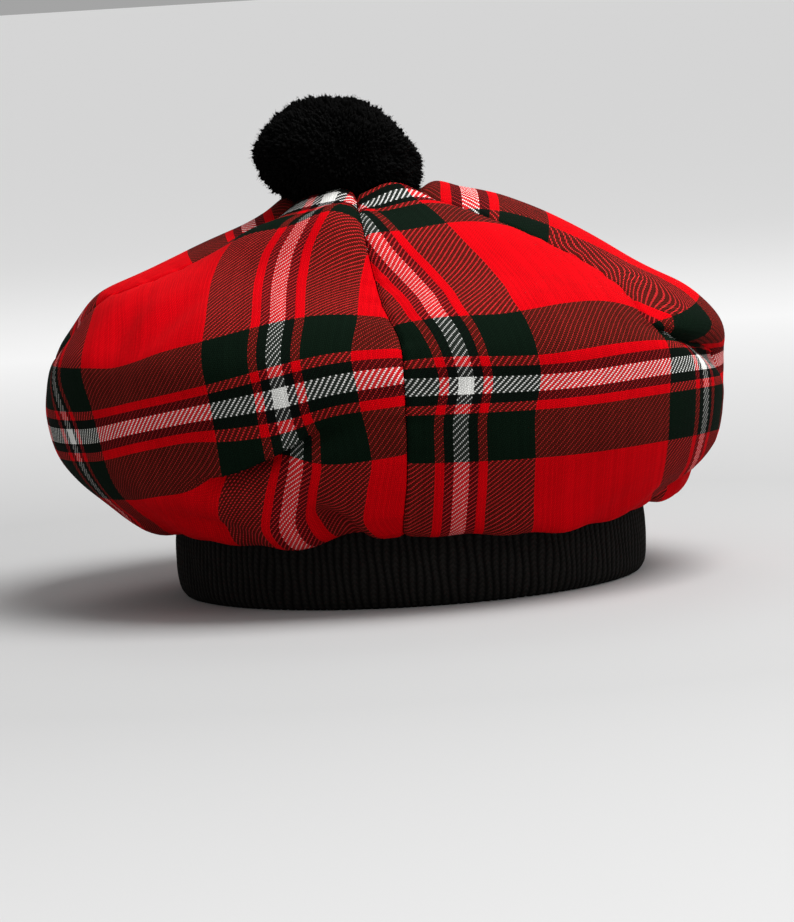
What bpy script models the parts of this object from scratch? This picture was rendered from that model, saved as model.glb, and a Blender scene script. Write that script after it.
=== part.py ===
"""Tam o' shanter: six sewn tartan gores on a folded rib-knit headband, with a
yarn pompom tied through the tip.

Metres, +Z up, the front of the hat toward -Y. Azimuths are degrees from the
front, positive toward +X. The gores share one crown surface, worked out from a
table of sections from the tip down to the seam on the headband, a valley at
each seam and a table of folds.
"""

import math
from functools import lru_cache

import bmesh
import bpy
from mathutils import Vector

# Driving dimensions, metres
CROWN_WIDTH = 0.2770
CROWN_DEPTH = 0.2700
CROWN_HEIGHT = 0.1605
CLOTH_THICKNESS = 0.0020
SEAM_GAP = 0.0005

BAND_DIAMETER = 0.1913
BAND_HEIGHT = 0.0330
BAND_THICKNESS = 0.0072
BAND_FOOT_WIDTH = 0.0022
BAND_SEAT_GAP = 0.0003

TIP_HOLE_DIAMETER = 0.0090
TIP_SHIFT = -0.0130
EQUATOR_SHIFT = -0.0050

SEAM_VALLEY_DEPTH = 0.0048
CROWN_LEAN = 0.0042
FOLD_HEIGHT = 0.0100

POMPOM_WIDTH = 0.0680
POMPOM_HEIGHT = 0.0540
POMPOM_RISE = 0.0385
POMPOM_SHIFT = -0.0070
POMPOM_LEAN = -0.25
POMPOM_LOCK_HEIGHT = 0.0032
POMPOM_SEAT_GAP = 0.0008
TIE_DIAMETER = 0.0060
TIE_TAIL = 0.0050
SEAT_FLOOR = 0.1000
MERGE_DISTANCE = 0.00001

# Counts
GORE_COUNT = 6
GORE_COLUMNS = 10
GORE_ROWS = 27
BAND_STEPS = 72
TIE_SIDES = 10
POMPOM_SUBDIVISIONS = 3
SEAT_ROWS = 8
RUN_STEPS = 400
SLOPE_STEP = 0.002

# Seams between the gores, from the front seam toward +X, in degrees of azimuth
# at each share of the crown's run. The last row closes the round.
SEAM_RUNS = (0.00, 0.24, 0.40, 0.49, 0.57, 0.60, 0.630, 0.66, 0.80, 0.93, 1.00)
SEAMS = (
    (-3.5, -2.9, -0.9, 0.2, 2.4, 2.6, 2.6, 2.6, 2.0, -1.0, -1.0),
    (54.0, 52.0, 62.0, 58.0, 53.0, 57.0, 70.0, 82.0, 88.0, 70.0, 68.0),
    (124.0, 124.0, 123.0, 123.0, 126.0, 128.0, 132.0, 135.0, 137.0, 131.0, 130.0),
    (182.0, 182.0, 183.0, 184.0, 184.0, 184.0, 184.0, 184.0, 184.0, 183.0, 182.0),
    (241.0, 241.0, 243.0, 242.0, 236.0, 232.0, 229.0, 227.0, 228.0, 234.0, 235.0),
    (293.0, 292.0, 289.0, 283.0, 276.0, 272.0, 267.0, 264.0, 266.0, 281.0, 284.0),
    (356.5, 357.1, 359.1, 360.2, 362.4, 362.6, 362.6, 362.6, 362.0, 359.0, 359.0),
)

# Gore names, going from the front seam toward +X
GORE_NAMES = (
    "crown_gore_front_right",
    "crown_gore_right",
    "crown_gore_back_right",
    "crown_gore_back_left",
    "crown_gore_left",
    "crown_gore_front_left",
)

# Crown sections down the middle of a gore, from the tip hole to the band.
# run: share of the way down; radius: share of half the crown's width;
# height: share of the crown's height; puff: share of the seam valley's depth.
CROWN_SECTIONS = (
    # run, radius, height, puff
    (0.000, 0.033, 0.853, 0.00),
    (0.032, 0.072, 0.891, 0.30),
    (0.073, 0.123, 0.944, 0.70),
    (0.110, 0.175, 0.985, 0.95),
    (0.140, 0.220, 0.999, 1.00),
    (0.180, 0.292, 0.971, 0.95),
    (0.248, 0.419, 0.931, 0.85),
    (0.311, 0.524, 0.891, 0.80),
    (0.389, 0.650, 0.831, 0.80),
    (0.490, 0.809, 0.748, 0.80),
    (0.568, 0.921, 0.670, 0.75),
    (0.617, 0.978, 0.611, 0.70),
    (0.665, 0.996, 0.536, 0.65),
    (0.705, 1.000, 0.474, 0.60),
    (0.760, 0.982, 0.386, 0.55),
    (0.813, 0.939, 0.312, 0.50),
    (0.865, 0.881, 0.246, 0.45),
    (0.918, 0.809, 0.189, 0.35),
    (0.946, 0.758, 0.173, 0.25),
    (0.970, 0.715, 0.180, 0.15),
    (0.988, 0.686, 0.196, 0.05),
)

# Folds and dents pressed into the crown.
# azimuth: degrees; run: share of the way down; spread: half width in degrees;
# length: half length as a share of the run; height: share of FOLD_HEIGHT,
# below nothing where it dents; slant: degrees of azimuth that the fold drifts
# in its own half length.
FOLDS = (
    # azimuth, run, spread, length, height, slant
    (-12.0, 0.120, 15.0, 0.045, 0.35, 0.0),
    (24.0, 0.125, 20.0, 0.040, 0.24, 0.0),
    (-10.0, 0.272, 15.0, 0.083, 1.20, 0.0),
    (-42.0, 0.272, 18.0, 0.070, 0.45, 0.0),
    (-72.0, 0.470, 26.0, 0.110, 0.50, 0.0),
    (-30.0, 0.560, 35.0, 0.090, 0.40, 0.0),
    (33.0, 0.560, 35.0, 0.090, 0.40, 0.0),
    (-12.5, 0.706, 6.0, 0.028, -0.55, 0.0),
    (-29.0, 0.830, 13.0, 0.060, 0.32, 8.0),
    (-40.0, 0.880, 10.0, 0.035, -0.22, 8.0),
    (-25.0, 0.905, 10.0, 0.050, 0.34, 0.0),
    (-13.6, 0.905, 4.2, 0.060, -1.05, 1.5),
    (-7.0, 0.850, 7.0, 0.060, 0.22, 4.0),
    (-58.0, 0.905, 6.0, 0.050, -0.40, 0.0),
    (-76.0, 0.870, 14.0, 0.060, -0.10, -4.0),
    (-84.0, 0.660, 17.0, 0.160, 0.30, 0.0),
    (-84.0, 0.500, 16.0, 0.050, 0.30, 0.0),
    (-84.0, 0.570, 5.0, 0.090, -0.22, 3.0),
    (-55.0, 0.560, 5.0, 0.080, -0.34, 3.0),
    (-45.0, 0.535, 4.5, 0.075, -0.30, -2.0),
    (-90.0, 0.890, 9.0, 0.050, -0.15, 4.0),
    (10.0, 0.890, 8.0, 0.050, -0.16, -3.0),
    (32.0, 0.925, 14.0, 0.040, 0.26, 4.0),
    (65.5, 0.910, 8.0, 0.045, -0.28, 0.0),
    (72.0, 0.650, 8.0, 0.050, -0.35, 12.0),
    (80.0, 0.530, 14.0, 0.070, 0.14, 8.0),
    (84.0, 0.460, 14.0, 0.050, -0.18, 0.0),
    (88.0, 0.800, 11.0, 0.050, 0.22, -8.0),
    (84.0, 0.875, 9.0, 0.030, -0.42, -8.0),
    (110.0, 0.880, 9.0, 0.050, 0.26, 5.0),
    (124.0, 0.850, 7.0, 0.080, -0.36, 0.0),
    (152.0, 0.810, 14.0, 0.050, 0.34, -8.0),
    (150.0, 0.880, 13.0, 0.032, -0.42, -8.0),
    (182.0, 0.895, 7.0, 0.055, -0.40, 0.0),
    (158.0, 0.460, 9.0, 0.120, -0.20, 6.0),
    (205.0, 0.840, 15.0, 0.050, 0.34, 8.0),
    (208.0, 0.905, 12.0, 0.030, -0.36, 6.0),
    (212.0, 0.490, 8.0, 0.110, -0.18, -5.0),
    (240.0, 0.890, 7.0, 0.060, -0.38, 0.0),
    (256.0, 0.830, 11.0, 0.055, 0.24, 7.0),
)

# Gathers in each gore where it is drawn in to the band, with a valley at each seam
GATHERS_PER_GORE = 5
GATHER_HEIGHT = 0.0006
GATHER_START = 0.84
GATHER_END = 0.975

# Headband sections, round the turned profile from the foot's inner edge.
# across: share of the band's thickness, from its inner wall out;
# height: share of the band's height.
BAND_SECTIONS = (
    # across, height
    (0.70, 0.035),
    (0.90, 0.120),
    (1.00, 0.300),
    (1.00, 0.550),
    (0.93, 0.780),
    (0.78, 0.940),
    (0.55, 1.000),
    (0.30, 0.990),
    (0.08, 0.900),
    (0.00, 0.600),
    (0.00, 0.250),
    (0.06, 0.060),
)
BAND_FOOT_START = 0.20

# Seat of the crown's lower edge on the band, as a share of the band's thickness
CROWN_EDGE_ACROSS = 0.55

# Pompom lumps. azimuth, tilt: direction of the lump in degrees; spread: half
# width in degrees; height: share of the pompom's half width.
POMPOM_LUMPS = (
    # azimuth, tilt, spread, height
    (-90.0, 46.0, 20.0, -0.07),
    (-35.0, 15.0, 24.0, 0.03),
    (10.0, 45.0, 24.0, -0.03),
    (50.0, 20.0, 24.0, 0.03),
    (90.0, 26.0, 20.0, -0.06),
    (90.0, 64.0, 16.0, 0.03),
    (150.0, 40.0, 28.0, 0.04),
    (215.0, 25.0, 26.0, 0.04),
    (262.0, 5.0, 24.0, 0.03),
)

COLOURS = {
    "tartan": (0.560, 0.010, 0.016, 1.0),
    "knit": (0.006, 0.006, 0.007, 1.0),
    "yarn": (0.005, 0.005, 0.006, 1.0),
}
CLOTH_ROUGHNESS = 0.85

# The part's centre is moved on to the middle of its own box
CENTRE_OFFSET = Vector((-EQUATOR_SHIFT, 0.0, 0.0))


def clear_scene():
    for item in list(bpy.data.objects):
        bpy.data.objects.remove(item, do_unlink=True)


def new_collection(name):
    collection = bpy.data.collections.new(name)
    bpy.context.scene.collection.children.link(collection)
    return collection


def new_material(name, colour):
    material = bpy.data.materials.new(name)
    material.use_nodes = True
    shader = material.node_tree.nodes["Principled BSDF"]
    shader.inputs["Base Color"].default_value = colour
    shader.inputs["Roughness"].default_value = CLOTH_ROUGHNESS
    shader.inputs["Metallic"].default_value = 0.0
    material.diffuse_color = colour
    return material


def new_object(name, shape, collection, material):
    mesh = bpy.data.meshes.new(name)
    shape.to_mesh(mesh)
    shape.free()
    mesh.shade_smooth()
    mesh.materials.append(material)
    item = bpy.data.objects.new(name, mesh)
    collection.objects.link(item)
    return item


def smooth_step(low, high, value):
    share = min(1.0, max(0.0, (value - low) / (high - low)))
    return share * share * (3.0 - 2.0 * share)


def angle_apart(first, second):
    return (first - second + 180.0) % 360.0 - 180.0


def bell(value):
    return math.exp(-value * value)


def band_outer_radius():
    return BAND_DIAMETER / 2.0


def band_inner_radius():
    return band_outer_radius() - BAND_THICKNESS


@lru_cache(maxsize=1)
def crown_sections():
    """Sections of the crown in metres: run share, radius, height and puff share."""
    rows = [
        (run, radius * CROWN_WIDTH / 2.0, height * CROWN_HEIGHT, puff)
        for run, radius, height, puff in CROWN_SECTIONS
    ]
    rows[0] = (rows[0][0], TIP_HOLE_DIAMETER / 2.0, rows[0][2], rows[0][3])
    edge_radius = band_inner_radius() + CROWN_EDGE_ACROSS * BAND_THICKNESS
    rows.append((1.0, edge_radius, BAND_HEIGHT + BAND_SEAT_GAP, 0.0))
    return rows


def spline_value(rows, column, run):
    """Smooth curve through one column of a table, with flat-limited slopes."""
    last = len(rows) - 1
    index = 0
    while index < last - 1 and run > rows[index + 1][0]:
        index += 1
    start, end = rows[index], rows[index + 1]
    before = rows[max(index - 1, 0)]
    after = rows[min(index + 2, last)]
    step = end[0] - start[0]
    share = (run - start[0]) / step
    slope_in = (end[column] - before[column]) / (end[0] - before[0]) * step
    slope_out = (after[column] - start[column]) / (after[0] - start[0]) * step
    squared = share * share
    cubed = squared * share
    return (
        start[column] * (2.0 * cubed - 3.0 * squared + 1.0)
        + slope_in * (cubed - 2.0 * squared + share)
        + end[column] * (3.0 * squared - 2.0 * cubed)
        + slope_out * (cubed - squared)
    )


def seam_azimuth(index, run):
    rows = tuple(zip(SEAM_RUNS, SEAMS[index]))
    return spline_value(rows, 1, run)


def puff_across(across):
    """Rounded rise of a gore between its seams, 0 at a seam and 1 mid-gore."""
    return math.sin(math.pi * across) ** 0.75


def fold_offset(azimuth, run):
    total = 0.0
    for centre, place, spread, length, height, slant in FOLDS:
        along = (run - place) / length
        if abs(along) > 3.0:
            continue
        middle = centre + slant * along
        total += height * bell(angle_apart(azimuth, middle) / spread) * bell(along)
    return total * FOLD_HEIGHT * (1.0 - smooth_step(0.96, 1.0, run))


def gather_offset(across, run):
    window = smooth_step(GATHER_START, GATHER_START + 0.06, run)
    window *= 1.0 - smooth_step(GATHER_END - 0.04, GATHER_END, run)
    wave = math.cos(2.0 * math.pi * GATHERS_PER_GORE * across)
    return -GATHER_HEIGHT * window * wave


def crown_centre_x(run):
    """The crown leans: its axis drifts from the tip's place to the band's."""
    drift = smooth_step(0.0, 0.55, run)
    home = smooth_step(0.75, 1.0, run)
    return (TIP_SHIFT + (EQUATOR_SHIFT - TIP_SHIFT) * drift) * (1.0 - home)


def crown_point(azimuth, run, across, inward=0.0):
    """A point of the crown's surface, or one that lies inward of it."""
    rows = crown_sections()
    radius = spline_value(rows, 1, run)
    height = spline_value(rows, 2, run)
    puff = spline_value(rows, 3, run)
    small = 0.002
    low = max(0.0, run - small)
    high = min(1.0, run + small)
    along_radius = spline_value(rows, 1, high) - spline_value(rows, 1, low)
    along_height = spline_value(rows, 2, high) - spline_value(rows, 2, low)
    length = math.hypot(along_radius, along_height)
    out_radius = -along_height / length
    out_height = along_radius / length

    valley = SEAM_VALLEY_DEPTH * puff * (1.0 - puff_across(across))
    offset = fold_offset(azimuth, run) + gather_offset(across, run) - valley - inward
    radius += out_radius * offset
    height += out_height * offset

    turn = math.radians(azimuth)
    lean_window = smooth_step(0.08, 0.24, run) * (1.0 - smooth_step(0.18, 0.50, run))
    height += CROWN_LEAN * lean_window * math.sin(turn)
    flatten = CROWN_DEPTH / CROWN_WIDTH
    depth_share = 1.0 + (flatten - 1.0) * smooth_step(0.1, 0.6, run) * (
        1.0 - smooth_step(0.80, 1.0, run)
    )
    return Vector(
        (
            crown_centre_x(run) + radius * math.sin(turn),
            -radius * depth_share * math.cos(turn),
            height,
        )
    )


@lru_cache(maxsize=1)
def run_length():
    """Length of the crown's profile from the tip hole to the band."""
    rows = crown_sections()
    total = 0.0
    before = (rows[0][1], rows[0][2])
    for step in range(1, RUN_STEPS + 1):
        run = step / RUN_STEPS
        spot = (spline_value(rows, 1, run), spline_value(rows, 2, run))
        total += math.dist(before, spot)
        before = spot
    return total


@lru_cache(maxsize=None)
def seam_margin(index, run, gap):
    """Half the gap at a seam, in degrees of azimuth, also where the seam slants."""
    radius = spline_value(crown_sections(), 1, run)
    drift = seam_azimuth(index, run + SLOPE_STEP) - seam_azimuth(index, run - SLOPE_STEP)
    slant = math.radians(drift) * radius / (2.0 * SLOPE_STEP * run_length())
    return math.degrees(gap / 2.0 * math.hypot(1.0, slant) / radius)


def gore_azimuth(index, across, run, gap):
    """Azimuth at a share across a gore that stops half the gap short of each seam."""
    start = seam_azimuth(index, run) + seam_margin(index, run, gap)
    end = seam_azimuth(index + 1, run) - seam_margin(index + 1, run, gap)
    return start + (end - start) * across


def build_gore(index, collection, material):
    """One panel: an open sheet laid on the crown surface, thickened inward."""
    shape = bmesh.new()
    bmesh.ops.create_grid(
        shape, x_segments=GORE_COLUMNS, y_segments=GORE_ROWS, size=0.5
    )
    for vertex in shape.verts:
        across = vertex.co.x + 0.5
        run = min(1.0, max(0.0, 0.5 - vertex.co.y))
        azimuth = gore_azimuth(index, across, run, SEAM_GAP)
        vertex.co = crown_point(azimuth, run, across) + CENTRE_OFFSET
    gore = new_object(GORE_NAMES[index], shape, collection, material)
    wall = gore.modifiers.new("cloth", "SOLIDIFY")
    wall.thickness = CLOTH_THICKNESS
    wall.offset = -1.0
    wall.use_rim = True
    return gore


def band_profile():
    """Closed outline of the folded band, outer side top to bottom last."""
    inner = band_inner_radius()
    foot_start = inner + BAND_FOOT_START * BAND_THICKNESS
    points = [(foot_start, 0.0), (foot_start + BAND_FOOT_WIDTH, 0.0)]
    for across, height in BAND_SECTIONS:
        points.append((inner + across * BAND_THICKNESS, height * BAND_HEIGHT))
    points.reverse()
    return points


def build_headband(collection, material):
    shape = bmesh.new()
    vertices = [shape.verts.new((x, 0.0, z)) for x, z in band_profile()]
    for first, second in zip(vertices, vertices[1:] + vertices[:1]):
        shape.edges.new((first, second))
    band = new_object("headband", shape, collection, material)
    band.location = CENTRE_OFFSET
    turn = band.modifiers.new("turn", "SCREW")
    turn.axis = "Z"
    turn.angle = 2.0 * math.pi
    turn.steps = BAND_STEPS
    turn.render_steps = BAND_STEPS
    turn.use_merge_vertices = True
    turn.merge_threshold = MERGE_DISTANCE
    return band


def pompom_centre():
    height = CROWN_HEIGHT + POMPOM_RISE - POMPOM_HEIGHT / 2.0
    return Vector((TIP_SHIFT + POMPOM_SHIFT, 0.0, height))


def lump_height(direction):
    azimuth = math.degrees(math.atan2(direction.x, -direction.y))
    tilt = math.degrees(math.asin(max(-1.0, min(1.0, direction.z))))
    total = 0.0
    for place, rise, spread, height in POMPOM_LUMPS:
        aside = angle_apart(azimuth, place) * math.cos(math.radians(tilt))
        total += height * bell(aside / spread) * bell((tilt - rise) / spread)
    return total


def shape_pompom_head(shape):
    """A squashed, lumpy ball whose underside keeps clear of the crown."""
    half_width = POMPOM_WIDTH / 2.0 - POMPOM_LOCK_HEIGHT
    half_height = POMPOM_HEIGHT / 2.0 - POMPOM_LOCK_HEIGHT / 2.0
    for vertex in shape.verts:
        direction = vertex.co.normalized()
        reach = 1.0 + lump_height(direction)
        vertex.co = Vector(
            (
                direction.x * half_width * reach,
                direction.y * half_width * reach,
                direction.z * half_height * reach,
            )
        )


def raise_locks(shape):
    """Each face of the head becomes a tuft that tapers outward."""
    tufts = bmesh.ops.extrude_discrete_faces(shape, faces=list(shape.faces))["faces"]
    for face in tufts:
        middle = face.calc_center_median()
        out = face.normal.copy()
        for vertex in face.verts:
            vertex.co = middle + (vertex.co - middle) * 0.55 + out * POMPOM_LOCK_HEIGHT


def build_pompom(collection, material):
    shape = bmesh.new()
    bmesh.ops.create_icosphere(
        shape, subdivisions=POMPOM_SUBDIVISIONS - 1, radius=1.0
    )
    shape_pompom_head(shape)
    raise_locks(shape)
    centre = pompom_centre() + CENTRE_OFFSET
    for vertex in shape.verts:
        vertex.co.x += POMPOM_LEAN * vertex.co.z
        vertex.co += centre
    shape.normal_update()
    pompom = new_object("pompom", shape, collection, material)
    add_seat(pompom, collection)
    add_tie(pompom, collection)
    return pompom


def add_helper(pompom, name, operation, helper):
    """Cut a helper out of the pompom, or join it on."""
    helper.hide_render = True
    helper.display_type = "WIRE"
    change = pompom.modifiers.new(name, "BOOLEAN")
    change.operation = operation
    change.solver = "EXACT"
    change.object = helper


def add_seat(pompom, collection):
    """The crown's top round the tip, which the underside of the ball rests on."""
    columns = GORE_COUNT * GORE_COLUMNS
    shape = bmesh.new()
    bmesh.ops.create_grid(shape, x_segments=columns, y_segments=SEAT_ROWS, size=0.5)
    for vertex in shape.verts:
        turn = round((vertex.co.x + 0.5) * columns)
        run = (0.5 - vertex.co.y) * SEAT_ROWS / GORE_ROWS
        index = min(turn // GORE_COLUMNS, GORE_COUNT - 1)
        across = turn / GORE_COLUMNS - index
        azimuth = gore_azimuth(index, across, run, 0.0)
        spot = crown_point(azimuth, run, across, -POMPOM_SEAT_GAP)
        vertex.co = spot + CENTRE_OFFSET
    bmesh.ops.remove_doubles(shape, verts=list(shape.verts), dist=MERGE_DISTANCE)
    top = list(shape.faces)
    raised = bmesh.ops.extrude_face_region(shape, geom=top)
    for item in raised["geom"]:
        if isinstance(item, bmesh.types.BMVert):
            item.co.z = SEAT_FLOOR
    bmesh.ops.recalc_face_normals(shape, faces=list(shape.faces))
    seat = new_object("pompom_seat", shape, collection, pompom.data.materials[0])
    add_helper(pompom, "seat", "DIFFERENCE", seat)


def add_tie(pompom, collection):
    """The yarn tie under the ball, through the hole at the crown's tip."""
    bottom = crown_sections()[0][2] - TIE_TAIL
    length = pompom_centre().z - bottom
    shape = bmesh.new()
    bmesh.ops.create_cone(
        shape,
        cap_ends=True,
        segments=TIE_SIDES,
        radius1=TIE_DIAMETER / 2.0,
        radius2=TIE_DIAMETER / 2.0,
        depth=length,
    )
    tie = new_object("pompom_tie_shape", shape, collection, pompom.data.materials[0])
    tie.location = Vector((TIP_SHIFT, 0.0, bottom + length / 2.0)) + CENTRE_OFFSET
    add_helper(pompom, "tie", "UNION", tie)


def main():
    clear_scene()
    hat = new_collection("tam_o_shanter")
    helpers = new_collection("cutters")
    tartan = new_material("tartan", COLOURS["tartan"])
    knit = new_material("knit", COLOURS["knit"])
    yarn = new_material("yarn", COLOURS["yarn"])
    for index in range(GORE_COUNT):
        build_gore(index, hat, tartan)
    build_headband(hat, knit)
    pompom = build_pompom(hat, yarn)
    for item in list(hat.objects):
        if item.display_type == "WIRE":
            hat.objects.unlink(item)
            helpers.objects.link(item)
    pompom.data.update()


main()
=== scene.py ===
"""Looks of the tam o' shanter: woven tartan gores, rib-knit headband and yarn
pompom, on a pale floor in soft studio light.

Metres, +Z up, the front of the hat toward -Y. Azimuths are degrees from the
front, positive toward +X. Each gore is the crown's surface over its own part
of the round, and carries a flat weave map in metres, across and along the
cloth it was cut from.
"""

import math

import bmesh
import bpy
import numpy as np
from mathutils import Matrix, Vector, noise
from mathutils.bvhtree import BVHTree


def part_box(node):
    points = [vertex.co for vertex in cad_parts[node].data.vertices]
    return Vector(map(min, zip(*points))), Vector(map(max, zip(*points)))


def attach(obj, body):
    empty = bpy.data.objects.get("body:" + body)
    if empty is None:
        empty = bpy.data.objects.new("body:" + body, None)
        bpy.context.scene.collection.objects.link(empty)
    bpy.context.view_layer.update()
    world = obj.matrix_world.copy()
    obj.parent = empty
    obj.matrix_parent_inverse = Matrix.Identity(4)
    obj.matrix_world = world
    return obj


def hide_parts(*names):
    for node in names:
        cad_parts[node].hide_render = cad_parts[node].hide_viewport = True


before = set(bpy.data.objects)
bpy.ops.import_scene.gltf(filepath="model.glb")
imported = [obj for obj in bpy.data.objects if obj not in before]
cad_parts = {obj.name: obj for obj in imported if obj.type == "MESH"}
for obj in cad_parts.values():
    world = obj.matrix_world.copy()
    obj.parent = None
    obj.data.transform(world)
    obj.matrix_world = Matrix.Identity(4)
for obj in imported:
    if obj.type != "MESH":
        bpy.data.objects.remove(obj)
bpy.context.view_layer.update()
band_low, band_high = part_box("headband")
pompom_low, pompom_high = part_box("pompom")

# Sizes that the crown shares with the solids
CROWN_WIDTH = 0.2770
CROWN_DEPTH = 0.2700
CROWN_HEIGHT = 0.1605
CLOTH_THICKNESS = 0.0013
BAND_DIAMETER = band_high[0] - band_low[0]
BAND_HEIGHT = band_high[2]
BAND_THICKNESS = 0.0072
BAND_FOOT_WIDTH = 0.0022
BAND_FOOT_START = 0.20
BAND_SEAT_GAP = 0.0003
BAND_RIB_DEPTH = 0.00085
CROWN_EDGE_ACROSS = 0.55
TIP_HOLE_DIAMETER = 0.0090
TIP_SHIFT = -0.0130
EQUATOR_SHIFT = -0.0050
SEAM_GAP = 0.0003
SEAM_VALLEY_DEPTH = 0.0048
CROWN_LEAN = 0.0042
FOLD_HEIGHT = 0.0100
FOLD_END = 0.96
RUN_STEPS = 800
SLOPE_STEP = 0.002
PUFF_POWER = 0.75
MM_PER_METRE = 1000.0

# Where effects along the run start, are full, start to fade, and end
CROWN_LEAN_RUNS = (0.08, 0.24, 0.18, 0.50)
DEPTH_RUNS = (0.10, 0.60, 0.80, 1.00)
PUCKER_RUNS = (0.25, 0.40, 0.93, 0.99)
TIP_DRIFT_END = 0.55
HOME_START = 0.75

# Pompom: its box comes from the solid, whose ball is centred beside the tip
POMPOM_WIDTH = 0.0680
POMPOM_HEIGHT = 0.0540
POMPOM_SHIFT = -0.0070
POMPOM_LEAN = -0.25
POMPOM_SEAT_GAP = 0.0008
TIE_DIAMETER = 0.0060
TIE_TAIL = 0.0050
YARN_ENDS = 6000
YARN_LENGTH = 0.0075
YARN_RADIUS = 0.00085
YARN_SIDES = 3
YARN_SCATTER = 0.012
YARN_WIDTHS = (0.80, 1.15)
YARN_RINGS = ((0.35, 0.80), (0.86, 1.05), (1.0, 0.50))
DIP = 0.0016
DIP_CLUMP = 0.0012
DIP_SCATTER = 0.00022
DIP_LEAST = 0.0004
CLUMP_SCALE = 4.5
PULL_SCALE = 5.5
PULL = 0.0012
BEND_SCATTER = 0.0005
FIBRES_PER_END = 2
FIBRE_LENGTH = 0.0011
FIBRE_LENGTHS = (0.3, 1.0)
FIBRE_RADIUS = 0.00009
FIBRE_SPREAD = 0.45
FIBRE_SCATTER = 0.0004
FIBRE_ROOT = 0.4
FIBRE_TIP = 0.3
CORE_SUBDIVISIONS = 5
CORE_DEPTH = 0.0034
CORE_ROUGHNESS = 0.0008
CORE_SCALE = 14.0
CROWN_TOP_RUN = 0.34
CROWN_TOP_ROWS = 60
CROWN_TOP_COLUMNS = 41
ABOVE_HAT = 0.4
TIE_STRANDS = 3
TIE_STRAND_SHARE = 4.3
TIE_TWIST = 700.0
TIE_RINGS = 40
TIE_SIDES = 8
TIE_WIDTH_SHARE = 0.98
TIE_END_SHARE = 0.5

# The band's middle in plan, which the crown's own places are counted from
BAND_CENTRE = np.array([(band_low[0] + band_high[0]) / 2.0, 0.0, 0.0])

# Seams: the cloth's edge turns in, and its allowance lies pressed open inside
SEAM_ROLL_DEPTH = 0.0009
SEAM_ROLL_WIDTH = 0.0011
PUCKER_DEPTH = 0.0007
PUCKER_REACH = 0.0080
PUCKER_LENGTH = 0.0120
PUCKER_SEAM_TURN = 1.7
PUCKER_UNEVEN = 5.0
ALLOWANCE_WIDTH = 0.0060
ALLOWANCE_SHARE = 0.30
ALLOWANCE_GAP = 0.0004
ALLOWANCE_TURN_SHARE = 0.66
EDGE_SHARES = (0.0, 0.002, 0.005, 0.009, 0.014)
MIDDLE_SHARES = (0.02, 0.98)

# Mesh density
GORE_COLUMNS = 92
GORE_ROWS = 190
ALLOWANCE_COLUMNS = 4
BAND_RIBS = 182
BAND_SAMPLES_PER_RIB = 8
BAND_OUTLINE_POINTS = 48
CURVE_STEPS = 16
YARN_SEED = 7

# Gore names from the front seam toward +X
GORE_NAMES = ("front_right", "right", "back_right", "back_left", "left", "front_left")

# Crown sections from the tip hole to the band, as shares of the crown's run,
# half width and height, and of the seam valley's depth.
CROWN_SECTIONS = (
    # run, radius, height, puff
    (0.000, 0.033, 0.853, 0.00),
    (0.032, 0.072, 0.891, 0.30),
    (0.073, 0.123, 0.944, 0.70),
    (0.110, 0.175, 0.985, 0.95),
    (0.140, 0.220, 0.999, 1.00),
    (0.180, 0.292, 0.971, 0.95),
    (0.248, 0.419, 0.931, 0.85),
    (0.311, 0.524, 0.891, 0.80),
    (0.389, 0.650, 0.831, 0.80),
    (0.490, 0.809, 0.748, 0.80),
    (0.568, 0.921, 0.670, 0.75),
    (0.617, 0.978, 0.611, 0.70),
    (0.665, 0.996, 0.536, 0.65),
    (0.705, 1.000, 0.474, 0.60),
    (0.760, 0.982, 0.386, 0.55),
    (0.813, 0.939, 0.312, 0.50),
    (0.865, 0.881, 0.246, 0.45),
    (0.918, 0.809, 0.189, 0.35),
    (0.946, 0.758, 0.173, 0.25),
    (0.970, 0.715, 0.180, 0.15),
    (0.988, 0.686, 0.196, 0.05),
)

# Seams from the front seam toward +X, in degrees of azimuth at each share of
# the crown's run. The last row closes the round.
SEAM_RUNS = (0.00, 0.24, 0.40, 0.49, 0.57, 0.60, 0.630, 0.66, 0.80, 0.93, 1.00)
SEAMS = (
    (-3.5, -2.9, -0.9, 0.2, 2.4, 2.6, 2.6, 2.6, 2.0, -1.0, -1.0),
    (54.0, 52.0, 62.0, 58.0, 53.0, 57.0, 70.0, 82.0, 88.0, 70.0, 68.0),
    (124.0, 124.0, 123.0, 123.0, 126.0, 128.0, 132.0, 135.0, 137.0, 131.0, 130.0),
    (182.0, 182.0, 183.0, 184.0, 184.0, 184.0, 184.0, 184.0, 184.0, 183.0, 182.0),
    (241.0, 241.0, 243.0, 242.0, 236.0, 232.0, 229.0, 227.0, 228.0, 234.0, 235.0),
    (293.0, 292.0, 289.0, 283.0, 276.0, 272.0, 267.0, 264.0, 266.0, 281.0, 284.0),
    (356.5, 357.1, 359.1, 360.2, 362.4, 362.6, 362.6, 362.6, 362.0, 359.0, 359.0),
)

# Outline of the folded band, as shares of its thickness from the inner side
# and of its height.
BAND_SECTIONS = (
    # across, height
    (0.70, 0.035),
    (0.90, 0.120),
    (1.00, 0.300),
    (1.00, 0.550),
    (0.93, 0.780),
    (0.78, 0.940),
    (0.55, 1.000),
    (0.30, 0.990),
    (0.08, 0.900),
    (0.00, 0.600),
    (0.00, 0.250),
    (0.06, 0.060),
)

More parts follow.
